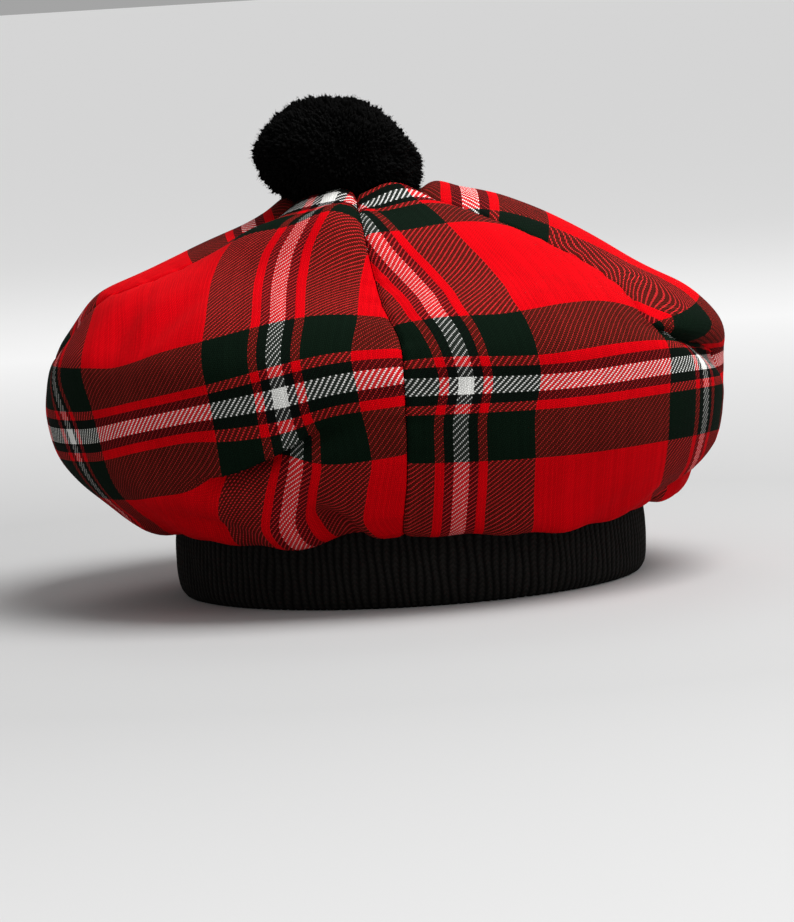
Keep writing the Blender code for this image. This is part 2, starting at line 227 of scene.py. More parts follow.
# Pompom lumps. azimuth, tilt: direction of the lump in degrees; spread: half
# width in degrees; height: share of the pompom's half width.
POMPOM_LUMPS = (
    # azimuth, tilt, spread, height
    (-90.0, 46.0, 20.0, -0.07),
    (-35.0, 15.0, 24.0, 0.03),
    (10.0, 45.0, 24.0, -0.03),
    (50.0, 20.0, 24.0, 0.03),
    (90.0, 26.0, 20.0, -0.06),
    (90.0, 64.0, 16.0, 0.03),
    (150.0, 40.0, 28.0, 0.04),
    (215.0, 25.0, 26.0, 0.04),
    (262.0, 5.0, 24.0, 0.03),
)

# Folds and dents: degrees of azimuth, share of the run, half width in degrees,
# half length as a share of the run, share of FOLD_HEIGHT, and degrees that the
# fold drifts in its own half length.
FOLDS = (
    # azimuth, run, spread, length, height, slant
    (-12.0, 0.120, 15.0, 0.045, 0.35, 0.0),
    (24.0, 0.125, 20.0, 0.040, 0.24, 0.0),
    (-10.0, 0.272, 15.0, 0.083, 1.20, 0.0),
    (-42.0, 0.272, 18.0, 0.070, 0.45, 0.0),
    (-72.0, 0.470, 26.0, 0.110, 0.50, 0.0),
    (-30.0, 0.560, 35.0, 0.090, 0.40, 0.0),
    (33.0, 0.560, 35.0, 0.090, 0.40, 0.0),
    (-12.5, 0.706, 6.0, 0.028, -0.55, 0.0),
    (-29.0, 0.830, 13.0, 0.060, 0.32, 8.0),
    (-40.0, 0.880, 10.0, 0.035, -0.22, 8.0),
    (-25.0, 0.905, 10.0, 0.050, 0.34, 0.0),
    (-13.6, 0.905, 4.2, 0.060, -1.05, 1.5),
    (-7.0, 0.850, 7.0, 0.060, 0.22, 4.0),
    (-58.0, 0.905, 6.0, 0.050, -0.40, 0.0),
    (-76.0, 0.870, 14.0, 0.060, -0.10, -4.0),
    (-84.0, 0.660, 17.0, 0.160, 0.30, 0.0),
    (-84.0, 0.500, 16.0, 0.050, 0.30, 0.0),
    (-84.0, 0.570, 5.0, 0.090, -0.22, 3.0),
    (-55.0, 0.560, 5.0, 0.080, -0.34, 3.0),
    (-45.0, 0.535, 4.5, 0.075, -0.30, -2.0),
    (-90.0, 0.890, 9.0, 0.050, -0.15, 4.0),
    (10.0, 0.890, 8.0, 0.050, -0.16, -3.0),
    (32.0, 0.925, 14.0, 0.040, 0.26, 4.0),
    (65.5, 0.910, 8.0, 0.045, -0.28, 0.0),
    (72.0, 0.650, 8.0, 0.050, -0.35, 12.0),
    (80.0, 0.530, 14.0, 0.070, 0.14, 8.0),
    (84.0, 0.460, 14.0, 0.050, -0.18, 0.0),
    (88.0, 0.800, 11.0, 0.050, 0.22, -8.0),
    (84.0, 0.875, 9.0, 0.030, -0.42, -8.0),
    (110.0, 0.880, 9.0, 0.050, 0.26, 5.0),
    (124.0, 0.850, 7.0, 0.080, -0.36, 0.0),
    (152.0, 0.810, 14.0, 0.050, 0.34, -8.0),
    (150.0, 0.880, 13.0, 0.032, -0.42, -8.0),
    (182.0, 0.895, 7.0, 0.055, -0.40, 0.0),
    (158.0, 0.460, 9.0, 0.120, -0.20, 6.0),
    (205.0, 0.840, 15.0, 0.050, 0.34, 8.0),
    (208.0, 0.905, 12.0, 0.030, -0.36, 6.0),
    (212.0, 0.490, 8.0, 0.110, -0.18, -5.0),
    (240.0, 0.890, 7.0, 0.060, -0.38, 0.0),
    (256.0, 0.830, 11.0, 0.055, 0.24, 7.0),
)

# Creases where cloth laps over itself: azimuth and run of the middle, change
# of run over ten degrees, half length in degrees, height of the lip, depth of
# the tuck below it, how far the lip hangs over and how much cloth the tuck
# takes up, in millimetres.
CREASES = (
    # azimuth, run, slant, reach, lip, tuck, overhang, take
    (-23.0, 0.738, -0.031, 10.0, 3.0, 7.0, 5.5, 6.5),
    (70.0, 0.618, 0.021, 16.0, 2.0, 2.5, 2.5, 0.0),
)
CREASE_LIP_WIDTH = 0.013
CREASE_EDGE_WIDTH = 0.0022
CREASE_TUCK_PLACE = 0.0050
CREASE_TUCK_WIDTH = 0.0060
CREASE_TUCK_START = -0.001
CREASE_TUCK_FULL = 0.004
CREASE_END_POWER = 3.0
CREASE_SLANT_SPAN = 10.0

# Gathers where the cloth is drawn in to the band
GATHERS_PER_GORE = 5
GATHER_HEIGHT = 0.0006
GATHER_RUNS = (0.84, 0.90, 0.935, 0.975)

# How each gore was cut from the cloth. grain: azimuth of the cloth's length
# over the top; line: azimuth of the nearest lengthwise white line at the wall;
# tip_across and tip_along: place of the tip in the pattern, in millimetres
# from that white line, and from the crosswise line's repeat.
CUTS = {
    # name: grain, line, tip_across, tip_along
    "front_right": (28.5, 12.7, 28.0, 8.8),
    "right": (97.0, 56.0, 60.0, 5.0),
    "back_right": (153.0, 166.0, -6.0, 15.0),
    "back_left": (211.0, 196.0, 10.0, 16.0),
    "left": (268.0, 285.0, 30.0, -1.0),
    "front_left": (337.0, 340.9, 6.4, 11.3),
}

# How far the cloth lies ahead of the run at the wall, in millimetres, by the
# share of the way across the gore.
AHEAD = {
    "front_right": ((0.0, 9.9), (0.3, 8.6), (0.6, 8.7), (1.0, 5.0)),
    "right": ((0.0, 5.0), (1.0, 8.0)),
    "back_right": ((0.0, 12.0), (1.0, 15.0)),
    "back_left": ((0.0, 12.0), (1.0, 10.0)),
    "left": ((0.0, 2.0), (1.0, -7.0)),
    "front_left": (
        (0.0, -8.0), (0.36, -6.0), (0.52, -0.3), (0.68, 5.7), (0.84, 10.6), (1.0, 13.8),
    ),
}

# How far the cloth is drawn aside near its white line, in millimetres, by the
# share of the run.
DRIFT = {
    "front_right": (
        (0.0, 0.0), (0.2, 2.0), (0.29, 4.2), (0.34, 5.2), (0.4, 5.5), (0.47, 7.3),
        (0.52, 8.3), (0.575, 5.1), (0.61, 2.8), (0.65, 1.1), (0.71, 4.2), (0.78, 4.1),
        (0.93, 5.7), (1.0, 5.7),
    ),
    "right": (
        (0.0, 0.0), (0.355, 3.0), (0.405, 2.0), (0.455, 1.0), (0.51, 4.0), (0.56, -4.0),
        (0.6, -6.0), (0.7, -6.0), (1.0, 0.0),
    ),
    "front_left": (
        (0.0, -7.0), (0.16, -7.0), (0.28, -6.5), (0.35, -3.2), (0.45, -5.5), (0.52, -5.0),
        (0.6, -1.5), (0.66, -3.6), (0.76, -6.5), (0.82, -0.7), (0.88, 5.7), (1.0, 4.5),
    ),
}
DRIFT_NEAR = 25.0
DRIFT_FAR = 60.0

# How far the cloth is drawn aside far from that line, by the share of the run
SIDE_DRIFT = {
    "front_left": (
        (0.0, 0.0), (0.5, 0.0), (0.6, 6.0), (0.64, 5.0), (0.7, -9.0), (0.76, -15.0),
        (0.85, -18.0), (1.0, -18.0),
    ),
}
SIDE_NEAR = 30.0
SIDE_FAR = 50.0

# How far the cloth is drawn aside along the gore's first seam, by the share of
# the run, fading out at a share of the way across.
SEAM_DRIFT = {
    "right": (
        (0.0, 0.0), (0.25, 4.0), (0.365, 10.0), (0.403, 9.0), (0.432, 11.0), (0.487, 15.0),
        (0.51, 16.0), (0.55, 21.0), (0.57, 21.0), (0.6, 14.0), (0.7, 0.0), (1.0, 0.0),
    ),
}
SEAM_DRIFT_WIDTH = 0.22

# How much further ahead the cloth lies at the shoulder, in millimetres, by the
# share of the way across the gore.
SHOULDER_AHEAD = {
    "front_right": ((0.0, 5.7), (0.15, 4.4), (0.4, 0.0), (0.8, 5.0), (1.0, 4.0)),
    "right": ((0.0, -1.0), (1.0, -1.0)),
    "left": ((0.0, 10.0), (1.0, 10.0)),
    "front_left": (
        (0.0, -3.8), (0.34, -5.7), (0.59, -2.8), (0.85, 7.0), (1.0, 8.0),
    ),
}
SHOULDER_RUN = 0.52
SHOULDER_WIDTH = 0.11
MAP_TURN_SHARE = 0.84
MAP_TOP_END = 0.105
MAP_WALL_START = 0.165

WOOL_RED = (0.600, 0.0006, 0.0040, 1.0)
WOOL_GREEN = (0.0030, 0.0085, 0.0045, 1.0)
WOOL_DARK = (0.0030, 0.0038, 0.0034, 1.0)
WOOL_WHITE = (0.800, 0.800, 0.770, 1.0)
WOOL_LINT = (0.900, 0.850, 0.870, 1.0)

# Half a repeat of the tartan, from the middle of the white stripe to the
# middle of the red ground
THREAD_PITCH = 0.00061
SETT = (
    # threads, colour
    (5, WOOL_WHITE),
    (6, WOOL_DARK),
    (6, WOOL_RED),
    (32, WOOL_GREEN),
    (55, WOOL_RED),
)
SETT_THREADS = 2 * sum(threads for threads, _ in SETT)
FIRST_CROSS_LINE = 0.052

LINT_SHARE = 0.022

# How much of the sunk thread shows between the floats of the paler one, for
# each way of the cloth, and the part of its swell that it shows over.
WARP_SUNK = 0.42
WEFT_SUNK = 0.08
SWELL_LOW = 0.15
SWELL_HIGH = 0.80

# Knit stitches: length along the rib, and how steeply they slant
STITCH_LENGTH = 0.0021
STITCH_SLANT = 1.6

# Waves round the band, in parts of a rib or of the band's slack
BAND_SWAYS = (
    # strength, waves in the round, turn ahead, turn by height
    (0.22, 7.0, 1.0, 0.0),
    (0.16, 17.0, 0.0, 0.0),
    (0.10, 31.0, 0.0, 9.0),
)
BAND_TILTS = ((0.30, 5.0, 2.0, 0.0),)
RIB_UNEVEN = ((0.12, 41.0, 0.0, 3.0),)
BAND_SLACKS = (
    # strength, waves in the round, turn ahead, turn by height
    (0.35, 3.0, 0.6, 0.0),
    (0.30, 8.0, 2.1, 0.0),
    (0.18, 19.0, 0.0, 6.0),
)
BAND_SLACK = 0.0007
BAND_SLACK_HEIGHTS = (0.05, 0.35, 0.55, 0.95)
RIB_POWER = 0.75
RIB_INSIDE_SHARE = 0.55
RIB_OUTSIDE_FROM, RIB_OUTSIDE_FULL = 0.25, 0.75
# KNIT_SHADED is the knit's colour in painted shade, in the grooves and between the stitches;
# KNIT_BLACK is its colour on the crests.
KNIT_SHADED = (0.0019, 0.0017, 0.0015, 1.0)
KNIT_BLACK = (0.0140, 0.0128, 0.0116, 1.0)
YARN_DARK = (0.0005, 0.0005, 0.0005, 1.0)
YARN_BLACK = (0.0030, 0.0030, 0.0029, 1.0)
WHITE = (1.0, 1.0, 1.0, 1.0)

# Noise in the materials: scale, detail and roughness
WOOL_FUZZ = (2600.0, 3.0, 0.6)
WOOL_CLOUD = (45.0, 3.0, 0.6)
KNIT_FUZZ = (1800.0, 4.0, 0.65)
KNIT_SOFT = (160.0, 2.0, 0.5)
YARN_FUZZ = (1500.0, 4.0, 0.65)

# Shades by a value: its low and high, and the shade at each
DARK_SUNK = (-0.60, -0.10, 0.02, 0.13)
PALER_ON_TOP = (-0.03, 0.03, 0.0, 1.0)
LINT = (0.03, 0.12, 0.0, LINT_SHARE)
# SWELL_SHADE is painted shade between the threads and a painted highlight on the float tops; the
# fuzz, cloud and thread shades are random tone.
SWELL_SHADE = (0.0, 1.0, 0.62, 1.10)
FUZZ_SHADE = (0.25, 0.75, 0.88, 1.12)
CLOUD_SHADE = (0.25, 0.75, 0.90, 1.10)
THREAD_SHADE = (0.0, 1.0, 0.90, 1.10)
# GROOVE_SHADE and STITCH_SHADE are painted shade in the rib grooves and between the stitches.
GROOVE_SHADE = (0.12, 0.46, 1.0, 0.12)
STITCH_SHADE = (0.0, 1.0, 0.65, 1.10)
KNIT_FUZZ_SHADE = (0.3, 0.7, 0.75, 1.25)
KNIT_SOFT_SHADE = (0.3, 0.7, 0.85, 1.15)

# Bumps in the materials: strength and height, and the share of fuzz in them
WOOL_BUMP = (0.55, 0.00018)
KNIT_BUMP = (0.6, 0.0003)
YARN_BUMP = (0.6, 0.0004)

# Surfaces: roughness, specular level and sheen
WOOL_SURFACE = (0.92, 0.02, 0.0)
KNIT_SURFACE = (0.95, 0.04, 0.010)
YARN_SURFACE = (0.95, 0.03, 0.004)
FLOOR_SURFACE = (0.95, 0.1)
SHEEN_ROUGHNESS = 0.6
WOOL_FUZZ_SHARE = 0.35
KNIT_FUZZ_SHARE = 0.4

# Twill: threads in one repeat, and how many of them the warp lies over
TWILL_THREADS = 4.0
TWILL_OVER = 1.5
THREAD_ROUND_POWER = 0.5

# The photograph's camera: distance, height, focal length and roll
CAMERA_DISTANCE = 2.000
CAMERA_HEIGHT = 0.242
CAMERA_AIM = (-0.00376, 0.0, 0.0487)
CAMERA_ROLL = math.radians(3.5)
FRAME_HEIGHT = 922
FOCAL_PIXELS = 4932.0
SENSOR_SIZE = 36.0
CLIP_START, CLIP_END = 0.05, 400.0

FLOOR_SIZE = 300.0
FLOOR_COLOUR = (0.42, 0.42, 0.42, 1.0)
# The floor glows as painted light, rising from nothing at GLOW_START to FLOOR_GLOW at GLOW_END
# from the middle.
FLOOR_GLOW = 0.50
GLOW_START, GLOW_END = 0.35, 1.40
WORLD_STRENGTH = 0.37
LIGHT_AIM = (0.0, 0.0, 0.09)
LIGHTS = (
    # name, place, size, power
    ("overhead", (0.60, -0.25, 1.50), 1.0, 36.0),
    ("key", (1.1, -1.4, 1.2), 0.8, 6.0),
    ("back", (0.0, 1.5, 1.4), 1.0, 8.0),
)


def smooth_step(low, high, value):
    share = np.clip((value - low) / (high - low), 0.0, 1.0)
    return share * share * (3.0 - 2.0 * share)


def window(value, start, full, fade, end):
    """Rises from 0 at the start to 1, and falls back to 0 at the end."""
    return smooth_step(start, full, value) * (1.0 - smooth_step(fade, end, value))


def angle_apart(first, second):
    return (first - second + 180.0) % 360.0 - 180.0


def bell(value):
    return np.exp(-value * value)


def band_inner_radius():
    return BAND_DIAMETER / 2.0 - BAND_THICKNESS


def crown_sections():
    """The table in metres, closed at the tip hole and at the band's seat."""
    rows = np.array(CROWN_SECTIONS)
    rows[:, 1] *= CROWN_WIDTH / 2.0
    rows[:, 2] *= CROWN_HEIGHT
    rows[0, 1] = TIP_HOLE_DIAMETER / 2.0
    edge_radius = band_inner_radius() + CROWN_EDGE_ACROSS * BAND_THICKNESS
    edge = np.array([[1.0, edge_radius, BAND_HEIGHT + BAND_SEAT_GAP, 0.0]])
    return np.vstack([rows, edge])


SECTIONS = crown_sections()


def curve_value(places, values, place):
    """Smooth curve through a table's places and values."""
    last = len(places) - 1
    index = np.clip(np.searchsorted(places, place, side="left") - 1, 0, last - 1)
    before = np.maximum(index - 1, 0)
    after = np.minimum(index + 2, last)
    step = places[index + 1] - places[index]
    share = (place - places[index]) / step
    slope_in = (values[index + 1] - values[before]) / (places[index + 1] - places[before])
    slope_out = (values[after] - values[index]) / (places[after] - places[index])
    squared = share * share
    cubed = squared * share
    return (
        values[index] * (2.0 * cubed - 3.0 * squared + 1.0)
        + slope_in * step * (cubed - 2.0 * squared + share)
        + values[index + 1] * (3.0 * squared - 2.0 * cubed)
        + slope_out * step * (cubed - squared)
    )


def section_value(column, run):
    return curve_value(SECTIONS[:, 0], SECTIONS[:, column], run)


def run_length():
    """Length of the crown's profile from the tip hole to the band."""
    runs = np.linspace(0.0, 1.0, RUN_STEPS)
    steps = np.hypot(np.diff(section_value(1, runs)), np.diff(section_value(2, runs)))
    return float(steps.sum())


RUN_LENGTH = run_length()


def seam_azimuth(index, run):
    return curve_value(np.array(SEAM_RUNS), np.array(SEAMS[index]), run)


def seam_margin(index, run, gap):
    """Half the gap at a seam, in degrees of azimuth, also where the seam slants."""
    radius = section_value(1, run)
    drift = seam_azimuth(index, run + SLOPE_STEP) - seam_azimuth(index, run - SLOPE_STEP)
    slant = np.radians(drift) * radius / (2.0 * SLOPE_STEP * RUN_LENGTH)
    return np.degrees(gap / 2.0 * np.hypot(1.0, slant) / radius)


def gore_azimuth(index, across, run, gap):
    start = seam_azimuth(index, run) + seam_margin(index, run, gap)
    end = seam_azimuth(index + 1, run) - seam_margin(index + 1, run, gap)
    return start + (end - start) * across


def fold_offset(azimuth, run):
    total = np.zeros_like(run)
    for centre, place, spread, length, height, slant in FOLDS:
        along = (run - place) / length
        middle = centre + slant * along
        total += height * bell(angle_apart(azimuth, middle) / spread) * bell(along)
    return total * FOLD_HEIGHT * (1.0 - smooth_step(FOLD_END, 1.0, run))


def crease_place(row, azimuth, run):
    """How strong a crease is here, and how far past it, in metres."""
    centre, place, slant, reach = row[:4]
    aside = angle_apart(azimuth, centre)
    strength = np.exp(-(np.abs(aside / reach) ** CREASE_END_POWER))
    return strength, (run - place - slant * aside / CREASE_SLANT_SPAN) * RUN_LENGTH


def crease_take(azimuth, run):
    """Cloth taken up in the tucks on the way here, in metres."""
    total = np.zeros(np.broadcast(azimuth, run).shape)
    for row in CREASES:
        strength, past = crease_place(row, azimuth, run)
        total += row[7] * strength * smooth_step(0.0, CREASE_TUCK_PLACE, past)
    return total / MM_PER_METRE


def crease_shift(azimuth, run):
    """Offset outward and shift down the cloth, in metres, at the creases."""
    outward = np.zeros_like(run)
    down = np.zeros_like(run)
    for row in CREASES:
        lip, tuck, overhang = row[4:7]
        strength, past = crease_place(row, azimuth, run)
        width = np.where(past < 0.0, CREASE_LIP_WIDTH, CREASE_EDGE_WIDTH)
        edge = bell(past / width) * strength
        pocket = bell((past - CREASE_TUCK_PLACE) / CREASE_TUCK_WIDTH) * strength
        pocket = pocket * smooth_step(CREASE_TUCK_START, CREASE_TUCK_FULL, past)
        outward += lip * edge - tuck * pocket
        down += overhang * edge
    return outward / MM_PER_METRE, down / MM_PER_METRE


def gather_offset(across, run):
    wave = np.cos(2.0 * math.pi * GATHERS_PER_GORE * across)
    return -GATHER_HEIGHT * window(run, *GATHER_RUNS) * wave


def crown_centre_x(run):
    drift = smooth_step(0.0, TIP_DRIFT_END, run)
    home = smooth_step(HOME_START, 1.0, run)
    return (TIP_SHIFT + (EQUATOR_SHIFT - TIP_SHIFT) * drift) * (1.0 - home)


def crown_points(azimuth, run, across, inward):
    """Points of the crown, or inward of it, as an array with X, Y and Z last."""
    radius = section_value(1, run)
    height = section_value(2, run)
    puff = section_value(3, run)
    low = np.maximum(0.0, run - SLOPE_STEP)
    high = np.minimum(1.0, run + SLOPE_STEP)
    along_radius = section_value(1, high) - section_value(1, low)
    along_height = section_value(2, high) - section_value(2, low)
    length = np.hypot(along_radius, along_height)
    rise = np.abs(np.sin(math.pi * np.clip(across, 0.0, 1.0))) ** PUFF_POWER
    valley = SEAM_VALLEY_DEPTH * puff * (1.0 - rise)
    outward, down = crease_shift(azimuth, run)
    offset = fold_offset(azimuth, run) + gather_offset(across, run) - valley - inward
    offset = offset + outward
    radius = radius + (along_radius * down - along_height * offset) / length
    height = height + (along_height * down + along_radius * offset) / length
    turn = np.radians(azimuth)
    height = height + CROWN_LEAN * window(run, *CROWN_LEAN_RUNS) * np.sin(turn)
    flatten = 1.0 + (CROWN_DEPTH / CROWN_WIDTH - 1.0) * window(run, *DEPTH_RUNS)
    x = crown_centre_x(run) + radius * np.sin(turn)
    return np.stack([x, -radius * flatten * np.cos(turn), height], axis=-1) + BAND_CENTRE


def table_metres(table, name, place):
    """Smooth curve through a gore's places and millimetres, in metres."""
    if name not in table:
        return 0.0
    places, values = np.array(table[name]).T
    return curve_value(places, values, place) / MM_PER_METRE


def weave_place(name, azimuth, run, across):
    """Place in the cloth's pattern, in metres across and along its threads."""
    grain, line, tip_across, tip_along = CUTS[name]
    distance = run * RUN_LENGTH
    turn = np.radians(MAP_TURN_SHARE * angle_apart(azimuth, grain))
    top_across = tip_across / MM_PER_METRE + distance * np.sin(turn)
    top_along = tip_along / MM_PER_METRE + distance * np.cos(turn)
    from_line = angle_apart(azimuth, line)
    wall_across = section_value(1, run) * np.radians(from_line)
    wall_along = distance + table_metres(AHEAD, name, across)
    blend = smooth_step(MAP_TOP_END, MAP_WALL_START, distance)
    near = 1.0 - smooth_step(DRIFT_NEAR, DRIFT_FAR, np.abs(from_line))
    away = smooth_step(SIDE_NEAR, SIDE_FAR, np.abs(from_line))
    seam = 1.0 - smooth_step(0.0, SEAM_DRIFT_WIDTH, across)
    across_place = top_across + (wall_across - top_across) * blend
    across_place = across_place + near * table_metres(DRIFT, name, run)
    across_place = across_place + away * table_metres(SIDE_DRIFT, name, run)
    across_place = across_place + seam * table_metres(SEAM_DRIFT, name, run)
    shoulder = bell((run - SHOULDER_RUN) / SHOULDER_WIDTH)
    along_place = top_along + (wall_along - top_along) * blend - FIRST_CROSS_LINE
    along_place = along_place + shoulder * table_metres(SHOULDER_AHEAD, name, across)
    along_place = along_place + crease_take(azimuth, run)
    return np.stack([across_place, along_place], axis=-1)


def mesh_object(name, points, faces, material):
    mesh = bpy.data.meshes.new(name)
    mesh.from_pydata(np.asarray(points).tolist(), [], [list(face) for face in faces])
    mesh.materials.append(material)
    mesh.shade_smooth()
    item = bpy.data.objects.new(name, mesh)
    bpy.context.scene.collection.objects.link(item)
    return item


def take_place(item, solid):
    """The piece rides on the body in place of its solid, which is hidden."""
    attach(item, "root")
    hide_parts(solid)


def add_map(mesh, name, places):
    """A map of places in metres, one for each corner of the faces."""
    layer = mesh.uv_layers.new(name=name)
    layer.uv.foreach_set("vector", places.astype(np.float32).ravel())


def grid_faces(rows, columns):
    """Four-cornered faces of a grid of points, row by row."""
    row, column = np.meshgrid(np.arange(rows - 1), np.arange(columns - 1), indexing="ij")
    corner = (row * columns + column).ravel()
    return np.stack([corner, corner + columns, corner + columns + 1, corner + 1], axis=1)


def add_weave_map(mesh, places):
    corners = np.empty(len(mesh.loops), dtype=np.int32)
    mesh.loops.foreach_get("vertex_index", corners)
    add_map(mesh, "weave", places[corners])


def pucker(seam, run):
    """How far a seam's stitches draw the cloth in along it, from 0 to 1."""
    distance = run * RUN_LENGTH / PUCKER_LENGTH
    uneven = np.sin(PUCKER_UNEVEN * distance + seam)
    wave = np.sin(2.0 * math.pi * distance + PUCKER_SEAM_TURN * seam + uneven)
    return (0.5 + 0.5 * wave) * window(run, *PUCKER_RUNS)


def gore_grid(index):
    """Points and weave places of one gore, with a turned-in edge at each seam."""
    name = GORE_NAMES[index]
    edge = np.array(EDGE_SHARES)
    middle = np.linspace(*MIDDLE_SHARES, GORE_COLUMNS)
    across = np.concatenate([edge, middle, 1.0 - edge[::-1]])
    runs = np.linspace(0.0, 1.0, GORE_ROWS + 1)
    run, share = np.meshgrid(runs, across, indexing="ij")
    start = gore_azimuth(index, 0.0, runs, SEAM_GAP)
    end = gore_azimuth(index, 1.0, runs, SEAM_GAP)
    radius = section_value(1, runs)
    width = radius * np.radians(end - start)

    azimuth = start[:, None] + (end - start)[:, None] * share
    from_start = share * width[:, None]
    from_end = (1.0 - share) * width[:, None]
    inward = SEAM_ROLL_DEPTH * bell(from_start / SEAM_ROLL_WIDTH)
    inward += SEAM_ROLL_DEPTH * bell(from_end / SEAM_ROLL_WIDTH)
    first_seam, second_seam = index, (index + 1) % len(GORE_NAMES)
    inward += PUCKER_DEPTH * pucker(first_seam, run) * bell(from_start / PUCKER_REACH)
    inward += PUCKER_DEPTH * pucker(second_seam, run) * bell(from_end / PUCKER_REACH)
    points = [crown_points(azimuth, run, share, inward)]
    places = [weave_place(name, azimuth, run, share)]

    reach = np.minimum(ALLOWANCE_WIDTH, ALLOWANCE_SHARE * width)
    low_side = 2.0 * CLOTH_THICKNESS + ALLOWANCE_GAP
    for edge_azimuth, sign, edge_share in ((start, 1.0, 0.0), (end, -1.0, 1.0)):
        strip_points, strip_places = [], []
        for step in range(ALLOWANCE_COLUMNS + 1):
            share_out = step / ALLOWANCE_COLUMNS
            distance = reach * share_out
            turn = np.degrees(distance / radius)
            depth = low_side if step else ALLOWANCE_TURN_SHARE * low_side
            seam = first_seam if sign > 0.0 else second_seam
            depth = depth + PUCKER_DEPTH * pucker(seam, runs)
            beneath = edge_azimuth + sign * turn
            beneath_share = edge_share + sign * distance / width
            strip_points.append(crown_points(beneath, runs, beneath_share, depth))
            beyond_share = edge_share - sign * distance / width
            strip_places.append(weave_place(name, edge_azimuth - sign * turn, runs, beyond_share))
        if sign > 0.0:
            points.insert(0, np.stack(strip_points[::-1], axis=1))
            places.insert(0, np.stack(strip_places[::-1], axis=1))
        else:
            points.append(np.stack(strip_points, axis=1))
            places.append(np.stack(strip_places, axis=1))
    return np.concatenate(points, axis=1), np.concatenate(places, axis=1)


def build_gore(index, material):
    name = GORE_NAMES[index]
    points, places = gore_grid(index)
    rows, columns = points.shape[:2]
    faces = grid_faces(rows, columns)
    gore = mesh_object("cloth_" + name, points.reshape(-1, 3), faces, material)
    add_weave_map(gore.data, places.reshape(-1, 2))
    wall = gore.modifiers.new("cloth", "SOLIDIFY")
    wall.thickness = CLOTH_THICKNESS
    wall.offset = -1.0
    take_place(gore, "crown_gore_" + name)


def closed_curve(points, count):
    """Even points on a smooth closed curve through the given ones."""
    before = np.roll(points, 1, axis=0)
    after = np.roll(points, -1, axis=0)
    beyond = np.roll(points, -2, axis=0)
    pieces = []
    for share in np.linspace(0.0, 1.0, CURVE_STEPS, endpoint=False):
        squared = share * share
        cubed = squared * share
        pieces.append(
            0.5
            * (
                2.0 * points
                + (after - before) * share
                + (2.0 * before - 5.0 * points + 4.0 * after - beyond) * squared
                + (3.0 * points - before - 3.0 * after + beyond) * cubed
            )
        )
    fine = np.stack(pieces, axis=1).reshape(-1, 2)
    closed = np.vstack([fine, fine[:1]])
    lengths = np.hypot(*np.diff(closed, axis=0).T)
    travel = np.concatenate([[0.0], np.cumsum(lengths)])
    places = np.linspace(0.0, travel[-1], count, endpoint=False)
    return np.stack([np.interp(places, travel, closed[:, axis]) for axis in (0, 1)], axis=1)


def band_outline():
    """The folded band's outline in metres: radius and height."""
    inner = band_inner_radius()
    foot = inner + BAND_FOOT_START * BAND_THICKNESS
    rows = [(foot, 0.0), (foot + BAND_FOOT_WIDTH, 0.0)]
    rows += [(inner + a * BAND_THICKNESS, h * BAND_HEIGHT) for a, h in BAND_SECTIONS]
    return closed_curve(np.array(rows), BAND_OUTLINE_POINTS)


def band_wave(rows, turn, height):
    """Sum of waves round the band that also turn with its height."""
    total = np.zeros_like(turn)
    for strength, count, ahead, by_height in rows:
        total += strength * np.sin(count * turn + ahead + by_height * height)
    return total


def band_points(outline):
    """Points of the ribbed band, and each one's rib number in half turns."""
    ahead = np.roll(outline, -1, axis=0) - np.roll(outline, 1, axis=0)
    normal = np.stack([ahead[:, 1], -ahead[:, 0]], axis=1)
    normal /= np.linalg.norm(normal, axis=1, keepdims=True)
    around = BAND_RIBS * BAND_SAMPLES_PER_RIB
    turn = np.linspace(0.0, 2.0 * math.pi, around, endpoint=False)
    turn, index = np.meshgrid(turn, np.arange(len(outline)), indexing="ij")
    height = outline[index, 1] / BAND_HEIGHT
    sway = band_wave(BAND_SWAYS, turn, height)
    sway = sway + (height - 0.5) * band_wave(BAND_TILTS, turn, height)
    phase = turn * BAND_RIBS / 2.0 + sway * math.pi
    rib = np.abs(np.cos(phase)) ** RIB_POWER
    thickness = (outline[index, 0] - band_inner_radius()) / BAND_THICKNESS
    outside = smooth_step(RIB_OUTSIDE_FROM, RIB_OUTSIDE_FULL, thickness)
    depth = BAND_RIB_DEPTH * (RIB_INSIDE_SHARE + (1.0 - RIB_INSIDE_SHARE) * outside)
    depth = depth * (1.0 - RIB_UNEVEN[0][0] + band_wave(RIB_UNEVEN, turn, height))
    slack = BAND_SLACK * window(height, *BAND_SLACK_HEIGHTS)
    sink = depth * (1.0 - rib) - slack * band_wave(BAND_SLACKS, turn, height)
    radius = outline[index, 0] - normal[index, 0] * sink
    level = np.maximum(outline[index, 1] - normal[index, 1] * sink, 0.0)
    points = np.stack([radius * np.sin(turn), -radius * np.cos(turn), level], axis=-1)
    return points + BAND_CENTRE, phase


def knit_places(outline, phase):
    """Rib number and place along the outline, at each corner of the faces."""
    rib_place = np.vstack([phase, phase[:1] + BAND_RIBS * math.pi]) / math.pi
    closed = np.vstack([outline, outline[:1]])
    travel = np.concatenate([[0.0], np.cumsum(np.hypot(*np.diff(closed, axis=0).T))])
    sides = np.stack([rib_place[:-1], rib_place[:-1], rib_place[1:], rib_place[1:]], axis=-1)
    starts = np.broadcast_to(travel[:-1], phase.shape)
    ends = np.broadcast_to(travel[1:], phase.shape)
    return np.stack([sides, np.stack([starts, ends, ends, starts], axis=-1)], axis=-1)


